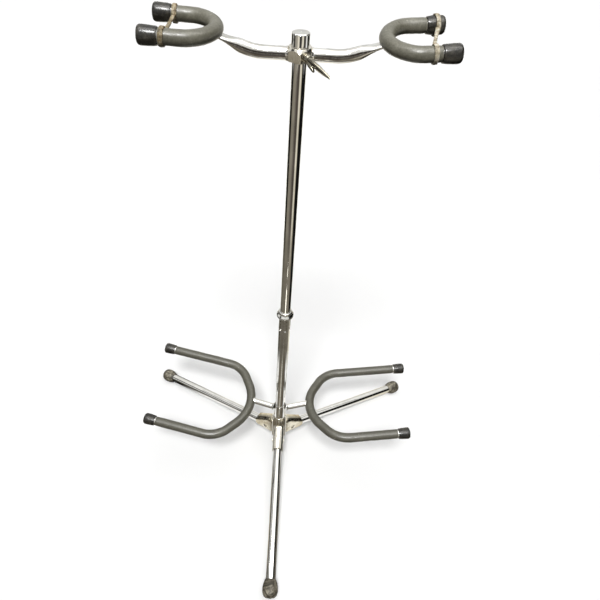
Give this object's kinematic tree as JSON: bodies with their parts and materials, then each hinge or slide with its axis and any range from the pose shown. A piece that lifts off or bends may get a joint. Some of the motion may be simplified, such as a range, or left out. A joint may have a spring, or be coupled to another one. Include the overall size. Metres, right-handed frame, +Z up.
{
  "type": "double instrument stand",
  "caption": "Folding chromed instrument stand: tripod base, telescopic post, padded cradles low down and padded neck yokes with rubber bands on a crossbar at the top.",
  "frame": {"origin": "centre of the bounding box at floor level, under the stand", "axes": "+Z up along the post, +X along the crossbar to the right-hand yoke, -Y towards the front leg"},
  "size_m": [0.6204, 0.54, 0.9624],
  "materials": {
    "chrome": "bright chromed steel tube with light age haze and small scuffs",
    "nickel": "plated steel, dulled and yellowed with age",
    "sleeve_vinyl": "matte grey vinyl tubing, faded and scuffed",
    "cap_rubber": "glossy black rubber caps",
    "foot_rubber": "dusty grey-brown rubber",
    "band_latex": "aged tan latex with darkened edges",
    "nylon": "natural nylon"
  },
  "bodies": {
    "base": {"cradle_arm_left": "chrome", "cradle_arm_right": "chrome", "cradle_block": "chrome", "cradle_cap_left_front": "cap_rubber", "cradle_cap_left_rear": "cap_rubber", "cradle_cap_right_front": "cap_rubber", "cradle_cap_right_rear": "cap_rubber", "cradle_sleeve_left": "sleeve_vinyl", "cradle_sleeve_right": "sleeve_vinyl", "cradle_tube_left": "chrome", "cradle_tube_right": "chrome", "hinge_pin_front": "chrome", "hinge_pin_rear_left": "chrome", "hinge_pin_rear_right": "chrome", "hub_block": "nickel", "hub_bolt": "chrome", "hub_washer": "chrome", "leg_bracket_front": "nickel", "leg_bracket_rear_left": "nickel", "leg_bracket_rear_right": "nickel", "lower_post_tube": "chrome", "post_plug": "nickel"},
    "collar": {"locking_collar": "chrome"},
    "upper_post": {"upper_post_tube": "chrome", "guide_plug": "nylon", "top_cap": "chrome"},
    "head": {"head_block": "nickel", "upper_arm_left": "chrome", "neck_tube_left": "chrome", "neck_sleeve_left": "sleeve_vinyl", "neck_cap_left_front": "cap_rubber", "neck_cap_left_rear": "cap_rubber", "retaining_band_left": "band_latex", "upper_arm_right": "chrome", "neck_tube_right": "chrome", "neck_sleeve_right": "sleeve_vinyl", "neck_cap_right_front": "cap_rubber", "neck_cap_right_rear": "cap_rubber", "retaining_band_right": "band_latex"},
    "wing_screw": {"wing_screw": "chrome"},
    "leg_front": {"leg_tube_front": "chrome", "foot_front": "foot_rubber"},
    "leg_rear_right": {"leg_tube_rear_right": "chrome", "foot_rear_right": "foot_rubber"},
    "leg_rear_left": {"leg_tube_rear_left": "chrome", "foot_rear_left": "foot_rubber"}
  },
  "joints": [
    {"name": "leg_fold_front", "type": "hinge", "parent": "base", "child": "leg_front", "pos_m": [0, 0.05238, 0.05471], "axis": [1, 0, 0], "range_deg": [0, 82]},
    {"name": "leg_fold_rear_right", "type": "hinge", "parent": "base", "child": "leg_rear_right", "pos_m": [0.02771, 0.10038, 0.05471], "axis": [-0.5, 0.866, 0], "range_deg": [0, 82]},
    {"name": "leg_fold_rear_left", "type": "hinge", "parent": "base", "child": "leg_rear_left", "pos_m": [-0.02771, 0.10038, 0.05471], "axis": [-0.5, -0.866, 0], "range_deg": [0, 82]},
    {"name": "post_height", "type": "slide", "parent": "base", "child": "upper_post", "axis": [0, 0, 1], "range_m": [-0.24, 0.055]},
    {"name": "collar_turn", "type": "hinge", "parent": "base", "child": "collar", "pos_m": [0, 0.08438, 0.443], "axis": [0, 0, 1], "range_deg": [0, 270]},
    {"name": "head_swivel", "type": "hinge", "parent": "upper_post", "child": "head", "pos_m": [0, 0.08438, 0.918], "axis": [0, 0, 1], "continuous": true},
    {"name": "wing_turn", "type": "hinge", "parent": "head", "child": "wing_screw", "pos_m": [0, 0.08438, 0.919], "axis": [0.5, -0.866, 0], "range_deg": [0, 540]}
  ]
}
